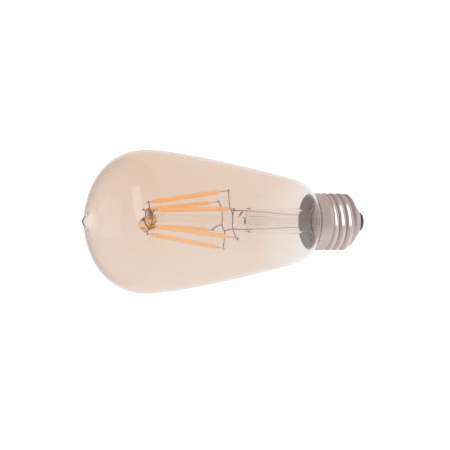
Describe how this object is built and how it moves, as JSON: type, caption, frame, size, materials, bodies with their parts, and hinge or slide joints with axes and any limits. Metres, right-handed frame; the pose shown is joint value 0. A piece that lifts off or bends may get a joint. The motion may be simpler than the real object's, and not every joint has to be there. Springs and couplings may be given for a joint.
{
  "type": "smart filament light bulb",
  "caption": "Tapered amber glass lamp with a pipped top, a cone of filaments on a glass stem, and a screw cap that holds its radio driver.",
  "frame": {"origin": "centre of the flat face of the cap's centre contact", "axes": "+Z along the lamp's axis from the contact to the glass pip, +X the way the stem leans and filament 1 stands"},
  "size_m": [0.064, 0.064, 0.1376],
  "materials": {
    "amber_glass": "thin blown glass with an amber tint that fades out towards the neck",
    "clear_glass": "clear drawn glass",
    "post_glass": "clear drawn glass, warm at the bead",
    "nickel_wire": "dull oxidised nickel wire",
    "dumet": "red copper-clad seal wire",
    "phosphor": "matte orange phosphor in silicone",
    "ceramic_strip": "white ceramic strip",
    "nickel_plate": "warm nickel plate, bright on the thread",
    "black_glass": "glossy black insulating glass",
    "contact_metal": "dull solder-tinned metal",
    "cement": "baked brown basing cement",
    "sleeve_plastic": "white flame-proof plastic",
    "board": "olive solder mask on glass-epoxy",
    "tin_can": "tinned steel shield",
    "black_epoxy": "black moulding compound",
    "antenna_ceramic": "pale antenna ceramic",
    "ceramic_chip": "tan capacitor ceramic",
    "capacitor_film": "dark shrink film over the can",
    "rubber": "black rubber",
    "ferrite": "dark sintered ferrite",
    "copper": "lacquered copper wire",
    "resistor_coat": "teal flame-proof coat",
    "red_insulation": "red wire insulation"
  },
  "bodies": {
    "root": {"glass_envelope": "amber_glass", "glass_stem": "clear_glass", "exhaust_tube": "clear_glass", "centre_post": "post_glass", "hub_ring": "nickel_wire", "support_spider_a": "nickel_wire", "support_spider_b": "nickel_wire", "seal_wire_a": "dumet", "seal_wire_b": "dumet", "outer_lead_a": "nickel_wire", "outer_lead_b": "nickel_wire", "screw_shell": "nickel_plate", "cap_insulator": "black_glass", "centre_contact": "contact_metal", "basing_cement": "cement", "insulating_sleeve": "sleeve_plastic", "driver_board": "board", "radio_shield": "tin_can", "antenna_chip": "antenna_ceramic", "driver_chip": "black_epoxy", "chip_capacitor_1": "ceramic_chip", "chip_capacitor_2": "ceramic_chip", "chip_resistor_1": "black_epoxy", "chip_resistor_2": "black_epoxy", "bridge_rectifier": "black_epoxy", "mains_capacitor": "ceramic_chip", "capacitor_can": "capacitor_film", "capacitor_bung": "rubber", "choke_core": "ferrite", "choke_winding": "copper", "fuse_resistor": "resistor_coat", "live_wire": "red_insulation", "neutral_wire": "nickel_wire", "filament_1_phosphor": "phosphor", "filament_1_strip": "ceramic_strip", "filament_1_top_pin": "nickel_wire", "filament_1_bottom_pin": "nickel_wire", "filament_2_phosphor": "phosphor", "filament_2_strip": "ceramic_strip", "filament_2_top_pin": "nickel_wire", "filament_2_bottom_pin": "nickel_wire", "filament_3_phosphor": "phosphor", "filament_3_strip": "ceramic_strip", "filament_3_top_pin": "nickel_wire", "filament_3_bottom_pin": "nickel_wire", "filament_4_phosphor": "phosphor", "filament_4_strip": "ceramic_strip", "filament_4_top_pin": "nickel_wire", "filament_4_bottom_pin": "nickel_wire", "filament_5_phosphor": "phosphor", "filament_5_strip": "ceramic_strip", "filament_5_top_pin": "nickel_wire", "filament_5_bottom_pin": "nickel_wire", "filament_6_phosphor": "phosphor", "filament_6_strip": "ceramic_strip", "filament_6_top_pin": "nickel_wire", "filament_6_bottom_pin": "nickel_wire"}
  },
  "joints": []
}
